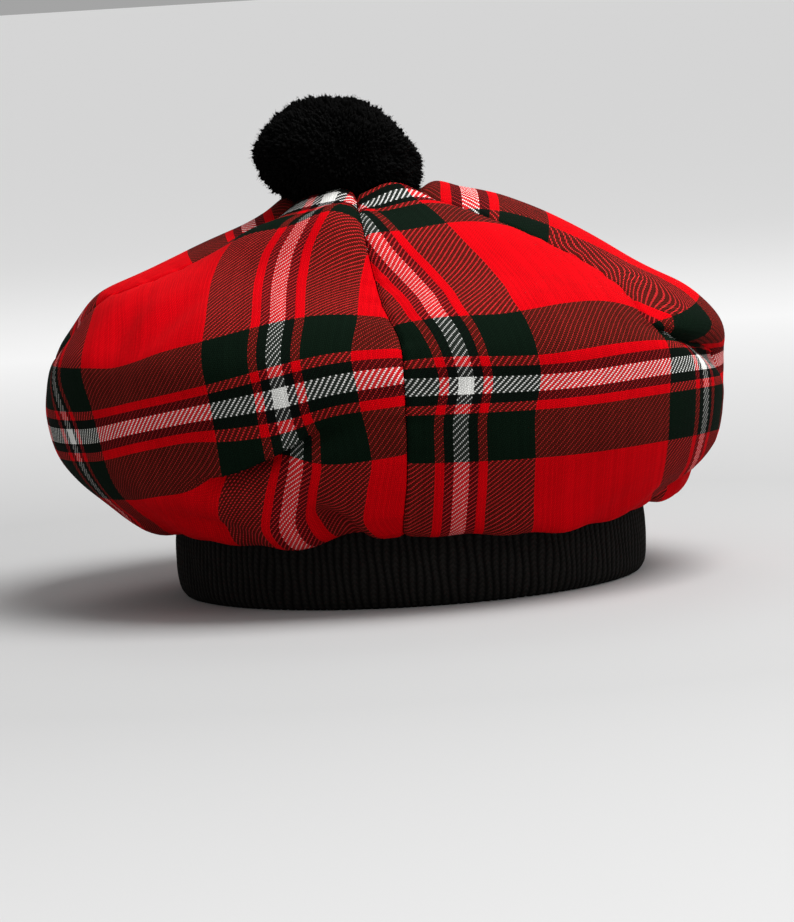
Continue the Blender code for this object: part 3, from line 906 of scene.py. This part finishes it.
def build_headband(material):
    """Rib-knit roll: ribs stand out of the outline's surface, grooves sink in."""
    outline = band_outline()
    points, phase = band_points(outline)
    rows, columns = phase.shape
    row, column = np.meshgrid(np.arange(rows), np.arange(columns), indexing="ij")
    next_row = (row + 1) % rows
    next_column = (column + 1) % columns
    corners = ((row, column), (row, next_column), (next_row, next_column), (next_row, column))
    faces = np.stack([a * columns + b for a, b in corners], axis=-1).reshape(-1, 4)
    band = mesh_object("knit_headband", points.reshape(-1, 3), faces, material)
    add_map(band.data, "knit", knit_places(outline, phase))
    recalculate_normals(band)
    take_place(band, "headband")


def recalculate_normals(item):
    shape = bmesh.new()
    shape.from_mesh(item.data)
    bmesh.ops.recalc_face_normals(shape, faces=list(shape.faces))
    shape.to_mesh(item.data)
    shape.free()


def crown_top_tree():
    """The crown's top round the tip, for the pompom to rest on."""
    points, faces = [], []
    runs = np.linspace(0.0, CROWN_TOP_RUN, CROWN_TOP_ROWS)
    across = np.linspace(0.0, 1.0, CROWN_TOP_COLUMNS)
    for index in range(len(GORE_NAMES)):
        run, share = np.meshgrid(runs, across, indexing="ij")
        azimuth = gore_azimuth(index, share, run, 0.0)
        spots = crown_points(azimuth, run, share, 0.0).reshape(-1, 3)
        start = len(points)
        points.extend(Vector(spot) for spot in spots)
        faces.extend((grid_faces(len(runs), len(across)) + start).tolist())
    return BVHTree.FromPolygons(points, faces)


def lift_clear(tree, points):
    """Raise points that would lie in the crown until they clear it."""
    lifted = points.copy()
    for place, (x, y, z) in enumerate(points):
        hit = tree.ray_cast(Vector((x, y, ABOVE_HAT)), Vector((0.0, 0.0, -1.0)))[0]
        if hit is not None:
            lifted[place, 2] = max(z, hit.z + POMPOM_SEAT_GAP)
    return lifted


def pompom_reach(direction):
    """How far out the pompom's surface is, as a share, from its lumps."""
    azimuth = np.degrees(np.arctan2(direction[:, 0], -direction[:, 1]))
    tilt = np.degrees(np.arcsin(np.clip(direction[:, 2], -1.0, 1.0)))
    total = np.ones(len(direction))
    for place, rise, spread, height in POMPOM_LUMPS:
        aside = angle_apart(azimuth, place) * np.cos(np.radians(tilt))
        total += height * bell(aside / spread) * bell((tilt - rise) / spread)
    return total


def pompom_points(direction, depth):
    """Points that lie a depth below the pompom's surface."""
    half = np.array([POMPOM_WIDTH / 2.0, POMPOM_WIDTH / 2.0, POMPOM_HEIGHT / 2.0])
    reach = pompom_reach(direction)[:, None]
    outer = direction * half * reach
    outward = direction / half
    outward /= np.linalg.norm(outward, axis=1, keepdims=True)
    points = outer - outward * depth[:, None]
    points[:, 0] += POMPOM_LEAN * points[:, 2]
    centre = np.array([TIP_SHIFT + POMPOM_SHIFT, 0.0, pompom_high[2] - POMPOM_HEIGHT / 2.0])
    return points + centre + BAND_CENTRE, outward


def even_directions(count):
    number = np.arange(count) + 0.5
    level = 1.0 - 2.0 * number / count
    turn = number * math.pi * (3.0 - math.sqrt(5.0))
    flat = np.sqrt(1.0 - level * level)
    return np.stack([flat * np.cos(turn), flat * np.sin(turn), level], axis=1)


def side_vectors(outward):
    """Two directions across each outward one."""
    helper = np.where(np.abs(outward[:, 2:3]) > 0.9, [[1.0, 0.0, 0.0]], [[0.0, 0.0, 1.0]])
    first = np.cross(outward, helper)
    first /= np.linalg.norm(first, axis=1, keepdims=True)
    return first, np.cross(outward, first)


def tube_parts(centres, radii, first, second, sides):
    """Closed-ended tubes: centres and radii are given ring by ring."""
    rings, count = len(centres), len(first)
    turn = np.linspace(0.0, 2.0 * math.pi, sides, endpoint=False)
    circle = (
        first[:, None, :] * np.cos(turn)[None, :, None]
        + second[:, None, :] * np.sin(turn)[None, :, None]
    )
    points = np.stack(
        [centres[ring][:, None, :] + circle * radii[ring][:, None, None] for ring in range(rings)],
        axis=1,
    )
    start = (np.arange(count) * rings * sides)[:, None, None]
    ring, side = np.meshgrid(np.arange(rings - 1), np.arange(sides), indexing="ij")
    low = ring * sides + side
    high = ring * sides + (side + 1) % sides
    quads = np.stack([low, high, high + sides, low + sides], axis=-1).reshape(-1, 4)
    faces = (start + quads[None]).reshape(-1, 4).tolist()
    last = (rings - 1) * sides
    caps = (start[:, :, 0] + last + np.arange(sides)[None]).tolist()
    return points.reshape(-1, 3), faces + caps


def unit(vectors):
    return vectors / np.linalg.norm(vectors, axis=1, keepdims=True)


def yarn_ends(chance, tree):
    """Yarn ends packed round the core, with each one's tip and way out."""
    direction = even_directions(YARN_ENDS)
    direction += chance.normal(0.0, YARN_SCATTER, direction.shape)
    direction = unit(direction)
    clump = np.array([noise.noise(Vector(d) * CLUMP_SCALE) for d in direction])
    dip = DIP + DIP_CLUMP * clump + chance.normal(0.0, DIP_SCATTER, YARN_ENDS)
    dip = np.maximum(dip, DIP_LEAST)
    tip, outward = pompom_points(direction, dip)
    root, _ = pompom_points(direction, dip + YARN_LENGTH)
    pull = np.array([noise.noise_vector(Vector(d) * PULL_SCALE) for d in direction])
    bend = chance.normal(0.0, BEND_SCATTER, tip.shape) + PULL * pull
    first, second = side_vectors(outward)
    radius = YARN_RADIUS * chance.uniform(*YARN_WIDTHS, YARN_ENDS)
    centres = [root + (tip - root) * share + bend * share * share for share, _ in YARN_RINGS]
    radii = [radius * width for _, width in YARN_RINGS]
    centres = [lift_clear(tree, ring) for ring in centres]
    points, faces = tube_parts(centres, radii, first, second, YARN_SIDES)
    return (lift_clear(tree, points), faces), centres[-1], outward


def stray_fibres(chance, tree, tip, outward):
    """Thin fibres that stand off each yarn's tip."""
    ends = np.repeat(np.arange(YARN_ENDS), FIBRES_PER_END)
    way = unit(outward[ends] + chance.normal(0.0, FIBRE_SPREAD, (len(ends), 3)))
    aside, beside = side_vectors(way)
    foot = tip[ends] + chance.normal(0.0, FIBRE_SCATTER, (len(ends), 3))
    reach = FIBRE_LENGTH * chance.uniform(*FIBRE_LENGTHS, len(ends))[:, None]
    hair = [foot - way * reach * FIBRE_ROOT, foot + way * reach]
    hair = [lift_clear(tree, ring) for ring in hair]
    thin = np.full(len(ends), FIBRE_RADIUS)
    return tube_parts(hair, [thin, thin * FIBRE_TIP], aside, beside, YARN_SIDES)


def joined(parts):
    """Points and faces of several parts as one."""
    all_points, all_faces = [], []
    for points, faces in parts:
        start = sum(len(group) for group in all_points)
        all_faces += [[corner + start for corner in face] for face in faces]
        all_points.append(points)
    return np.vstack(all_points), all_faces


def build_pompom(material):
    """Yarn ends packed round a core, with stray fibres, and the tie below."""
    chance = np.random.default_rng(YARN_SEED)
    tree = crown_top_tree()
    ends, tip, outward = yarn_ends(chance, tree)
    fibres = stray_fibres(chance, tree, tip, outward)
    points, faces = joined([ends, fibres, pompom_core(tree), tie_strands()])
    pompom = mesh_object("yarn_pompom", points, faces, material)
    take_place(pompom, "pompom")


def pompom_core(tree):
    shape = bmesh.new()
    bmesh.ops.create_icosphere(shape, subdivisions=CORE_SUBDIVISIONS, radius=1.0)
    direction = np.array([vertex.co[:] for vertex in shape.verts])
    faces = [[vertex.index for vertex in face.verts] for face in shape.faces]
    shape.free()
    rough = np.array([noise.noise(Vector(d) * CORE_SCALE) for d in direction])
    points, _ = pompom_points(direction, CORE_DEPTH + CORE_ROUGHNESS * rough)
    return lift_clear(tree, points), faces


def tie_strands():
    """Three twisted strands from inside the ball down through the tip hole."""
    bottom = crown_sections()[0][2] - TIE_TAIL
    top = pompom_high[2] - POMPOM_HEIGHT / 2.0
    height = np.linspace(bottom, top, TIE_RINGS)
    radius = TIE_DIAMETER / TIE_STRAND_SHARE
    widths = [np.array([radius * TIE_WIDTH_SHARE])] * TIE_RINGS
    widths[0] = widths[-1] = np.array([radius * TIE_END_SHARE])
    first, second = np.array([[1.0, 0.0, 0.0]]), np.array([[0.0, 1.0, 0.0]])
    strands = []
    for strand in range(TIE_STRANDS):
        turn = height * TIE_TWIST + strand * 2.0 * math.pi / TIE_STRANDS
        across = TIP_SHIFT + radius * np.cos(turn)
        middle = np.stack([across, radius * np.sin(turn), height], axis=1) + BAND_CENTRE
        centres = [middle[ring:ring + 1] for ring in range(TIE_RINGS)]
        points, faces = tube_parts(centres, widths, first, second, TIE_SIDES)
        faces.append(list(reversed(range(TIE_SIDES))))
        strands.append((points, faces))
    return joined(strands)


class Nodes:
    """A new material, with short calls for its nodes."""

    def __init__(self, name):
        self.material = bpy.data.materials.new(name)
        self.material.use_nodes = True
        self.tree = self.material.node_tree
        self.shader = self.tree.nodes["Principled BSDF"]

    def new(self, kind):
        return self.tree.nodes.new("ShaderNode" + kind)

    def put(self, value, socket):
        """Set a number or a colour on a socket, or link a node's output to it."""
        if isinstance(value, (int, float, tuple)):
            socket.default_value = value
        else:
            self.tree.links.new(value, socket)

    def math(self, operation, *values):
        node = self.new("Math")
        node.operation = operation
        for value, socket in zip(values, node.inputs):
            self.put(value, socket)
        return node.outputs[0]

    def times(self, product, *values):
        for value in values:
            product = self.math("MULTIPLY", product, value)
        return product

    def mix(self, share, first, second, blend="MIX"):
        node = self.new("Mix")
        node.data_type = "RGBA"
        node.blend_type = blend
        for key, value in (("Factor", share), ("A", first), ("B", second)):
            kind = "VALUE" if key == "Factor" else "RGBA"
            self.put(value, next(s for s in node.inputs if s.name == key and s.type == kind))
        return next(s for s in node.outputs if s.type == "RGBA")

    def value_of(self, colour):
        node = self.new("RGBToBW")
        self.put(colour, node.inputs["Color"])
        return node.outputs["Val"]

    def noise(self, scale, detail, roughness):
        node = self.new("TexNoise")
        self.put(self.new("TexCoord").outputs["Object"], node.inputs["Vector"])
        self.put(scale, node.inputs["Scale"])
        self.put(detail, node.inputs["Detail"])
        self.put(roughness, node.inputs["Roughness"])
        return node.outputs["Fac"]

    def white_noise(self, value):
        node = self.new("TexWhiteNoise")
        node.noise_dimensions = "1D"
        self.put(value, node.inputs["W"])
        return node.outputs["Value"]

    def map_range(self, value, *limits):
        node = self.new("MapRange")
        self.put(value, node.inputs["Value"])
        for key, limit in zip(("From Min", "From Max", "To Min", "To Max"), limits):
            self.put(limit, node.inputs[key])
        return node.outputs["Result"]

    def map_parts(self, name):
        """The two numbers of a map."""
        uv = self.new("UVMap")
        uv.uv_map = name
        split = self.new("SeparateXYZ")
        self.put(uv.outputs["UV"], split.inputs["Vector"])
        return split.outputs["X"], split.outputs["Y"]

    def finish(self, colour, height, bump, surface):
        """Colour, bump, roughness, specular level and sheen of the material."""
        node = self.new("Bump")
        self.put(bump[0], node.inputs["Strength"])
        self.put(bump[1], node.inputs["Distance"])
        self.put(height, node.inputs["Height"])
        inputs = self.shader.inputs
        self.put(node.outputs["Normal"], inputs["Normal"])
        self.put(colour, inputs["Base Color"])
        for key, value in zip(("Roughness", "Specular IOR Level", "Sheen Weight"), surface):
            self.put(value, inputs[key])
        self.put(SHEEN_ROUGHNESS, inputs["Sheen Roughness"])
        return self.material


def sett_colour(nodes, thread):
    """Colour of a thread from its number: the stripes of one repeat."""
    place = nodes.math("WRAP", thread, float(SETT_THREADS), 0.0)
    ramp = nodes.new("ValToRGB")
    ramp.color_ramp.interpolation = "CONSTANT"
    elements = ramp.color_ramp.elements
    elements.remove(elements[1])
    elements[0].position = 0.0
    elements[0].color = SETT[0][1]
    count = SETT[0][0]
    for threads, colour in SETT[1:] + SETT[::-1]:
        elements.new(count / SETT_THREADS).color = colour
        count += threads
    nodes.put(nodes.math("DIVIDE", place, float(SETT_THREADS)), ramp.inputs["Fac"])
    return ramp.outputs["Color"]


def thread_height(nodes, number, part, travel):
    """How high a thread stands: round across, and rising where it floats."""
    place = nodes.math("WRAP", nodes.math("ADD", number, travel), TWILL_THREADS, 0.0)
    swell = nodes.math("SINE", nodes.times(place, 2.0 * math.pi / TWILL_THREADS))
    across = nodes.math("SINE", nodes.times(part, math.pi))
    return nodes.times(nodes.math("POWER", across, THREAD_ROUND_POWER), swell)


def tartan_material():
    """2/2 twill wool: each thread coloured by its place in the sett, with painted shade between
    the threads and a painted highlight on the float tops.
    """
    nodes = Nodes("tartan_wool")
    across, along = [nodes.math("DIVIDE", part, THREAD_PITCH) for part in nodes.map_parts("weave")]
    warp_number, weft_number = [nodes.math("FLOOR", place) for place in (across, along)]
    warp_part, weft_part = [nodes.math("FRACT", place) for place in (across, along)]
    diagonal = nodes.math("ADD", warp_number, weft_number)
    step = nodes.math("WRAP", diagonal, TWILL_THREADS, 0.0)
    warp_on_top = nodes.math("LESS_THAN", step, TWILL_OVER)

    warp_colour = sett_colour(nodes, warp_number)
    weft_colour = sett_colour(nodes, weft_number)
    top_colour = nodes.mix(warp_on_top, weft_colour, warp_colour)
    under_colour = nodes.mix(warp_on_top, warp_colour, weft_colour)
    brighter = nodes.math("SUBTRACT", nodes.value_of(top_colour), nodes.value_of(under_colour))
    warp_height = thread_height(nodes, warp_number, warp_part, along)
    weft_height = nodes.times(thread_height(nodes, weft_number, weft_part, across), -1.0)
    swell = nodes.math("MAXIMUM", nodes.math("MAXIMUM", warp_height, weft_height), 0.0)

    base = nodes.map_range(warp_on_top, 0.0, 1.0, WEFT_SUNK, WARP_SUNK)
    hidden = nodes.map_range(swell, SWELL_LOW, SWELL_HIGH, 1.0, 0.0)
    pale_sunk = nodes.math("MINIMUM", nodes.math("ADD", base, hidden), 1.0)
    dark_sunk = nodes.map_range(brighter, *DARK_SUNK)
    paler = nodes.map_range(brighter, *PALER_ON_TOP)
    darker = nodes.math("SUBTRACT", 1.0, paler)
    sunk = nodes.math("ADD", nodes.times(paler, pale_sunk), nodes.times(darker, dark_sunk))
    colour = nodes.mix(sunk, top_colour, under_colour)
    shown = nodes.math("SUBTRACT", 1.0, sunk)
    colour = nodes.mix(nodes.times(nodes.map_range(brighter, *LINT), shown), colour, WOOL_LINT)

    fuzz = nodes.noise(*WOOL_FUZZ)
    # Painted shade between the threads and painted highlight on the float tops by the swell, times
    # random tone from fuzz, cloud and each thread.
    shade = nodes.times(
        nodes.map_range(swell, *SWELL_SHADE),
        nodes.map_range(fuzz, *FUZZ_SHADE),
        nodes.map_range(nodes.noise(*WOOL_CLOUD), *CLOUD_SHADE),
        nodes.map_range(nodes.white_noise(warp_number), *THREAD_SHADE),
    )
    grey = nodes.new("CombineColor")
    for socket in grey.inputs:
        nodes.put(shade, socket)
    colour = nodes.mix(1.0, colour, grey.outputs["Color"], "MULTIPLY")
    height = nodes.math("ADD", swell, nodes.times(fuzz, WOOL_FUZZ_SHARE))
    return nodes.finish(colour, height, WOOL_BUMP, WOOL_SURFACE)


def knit_material():
    """Black rib knit: columns of slanting stitches, with painted shade in the grooves and between
    the stitches.
    """
    nodes = Nodes("black_rib_knit")
    rib, along = nodes.map_parts("knit")
    part = nodes.math("FRACT", nodes.math("ADD", rib, 0.5))
    aside = nodes.math("ABSOLUTE", nodes.math("SUBTRACT", part, 0.5))
    rows = nodes.math("DIVIDE", along, STITCH_LENGTH)
    slanted = nodes.math("ADD", rows, nodes.times(aside, STITCH_SLANT))
    wave = nodes.math("SINE", nodes.times(slanted, 2.0 * math.pi))
    stitch = nodes.map_range(wave, -1.0, 1.0, 0.0, 1.0)
    fuzz = nodes.noise(*KNIT_FUZZ)
    # Painted shade in the grooves and between the stitches, times random tone from the fuzz.
    shade = nodes.times(
        nodes.map_range(aside, *GROOVE_SHADE),
        nodes.map_range(stitch, *STITCH_SHADE),
        nodes.map_range(fuzz, *KNIT_FUZZ_SHADE),
        nodes.map_range(nodes.noise(*KNIT_SOFT), *KNIT_SOFT_SHADE),
    )
    colour = nodes.mix(shade, KNIT_SHADED, KNIT_BLACK)
    height = nodes.math("ADD", stitch, nodes.times(fuzz, KNIT_FUZZ_SHARE))
    return nodes.finish(colour, height, KNIT_BUMP, KNIT_SURFACE)


def yarn_material():
    """Black wool yarn, a little uneven in its shade."""
    nodes = Nodes("black_yarn")
    fuzz = nodes.noise(*YARN_FUZZ)
    return nodes.finish(nodes.mix(fuzz, YARN_DARK, YARN_BLACK), fuzz, YARN_BUMP, YARN_SURFACE)


def build_camera():
    camera_data = bpy.data.cameras.new("camera")
    camera = bpy.data.objects.new("camera", camera_data)
    bpy.context.scene.collection.objects.link(camera)
    place = Vector((0.0, -CAMERA_DISTANCE, CAMERA_HEIGHT)) + Vector(BAND_CENTRE)
    aim = Vector(CAMERA_AIM) + Vector(BAND_CENTRE)
    turn = (aim - place).to_track_quat("-Z", "Y").to_matrix().to_4x4()
    roll = Matrix.Rotation(-CAMERA_ROLL, 4, "Z")
    camera.matrix_world = Matrix.Translation(place) @ turn @ roll
    camera_data.sensor_fit = "AUTO"
    camera_data.sensor_width = SENSOR_SIZE
    camera_data.lens = FOCAL_PIXELS * SENSOR_SIZE / FRAME_HEIGHT
    camera_data.clip_start = CLIP_START
    camera_data.clip_end = CLIP_END
    bpy.context.scene.camera = camera


def area_light(name, place, size, power):
    data = bpy.data.lights.new(name, "AREA")
    data.shape = "SQUARE"
    data.size = size
    data.energy = power
    light = bpy.data.objects.new(name, data)
    light.location = place
    way = Vector(LIGHT_AIM) - Vector(place)
    light.rotation_euler = way.to_track_quat("-Z", "Y").to_euler()
    bpy.context.scene.collection.objects.link(light)


def build_studio():
    bpy.ops.mesh.primitive_plane_add(size=FLOOR_SIZE, location=(0.0, 0.0, 0.0))
    floor = bpy.context.object
    floor.name = "floor"
    nodes = Nodes("pale_floor")
    inputs = nodes.shader.inputs
    nodes.put(FLOOR_COLOUR, inputs["Base Color"])
    nodes.put(FLOOR_SURFACE[0], inputs["Roughness"])
    nodes.put(FLOOR_SURFACE[1], inputs["Specular IOR Level"])
    # Painted light: the floor glows, more the further it lies from the middle.
    far = nodes.new("VectorMath")
    far.operation = "LENGTH"
    nodes.put(nodes.new("NewGeometry").outputs["Position"], far.inputs[0])
    glow = nodes.map_range(far.outputs["Value"], GLOW_START, GLOW_END, 0.0, FLOOR_GLOW)
    nodes.put(glow, inputs["Emission Strength"])
    nodes.put(WHITE, inputs["Emission Color"])
    floor.data.materials.append(nodes.material)
    world = bpy.data.worlds.new("studio")
    world.use_nodes = True
    background = world.node_tree.nodes["Background"]
    background.inputs["Color"].default_value = WHITE
    background.inputs["Strength"].default_value = WORLD_STRENGTH
    bpy.context.scene.world = world
    for light in LIGHTS:
        area_light(*light)
    settings = bpy.context.scene.view_settings
    settings.view_transform = "Standard"
    settings.look = "None"


def main():
    build_camera()
    build_studio()
    tartan = tartan_material()
    knit = knit_material()
    yarn = yarn_material()
    build_headband(knit)
    for index in range(len(GORE_NAMES)):
        build_gore(index, tartan)
    build_pompom(yarn)


main()
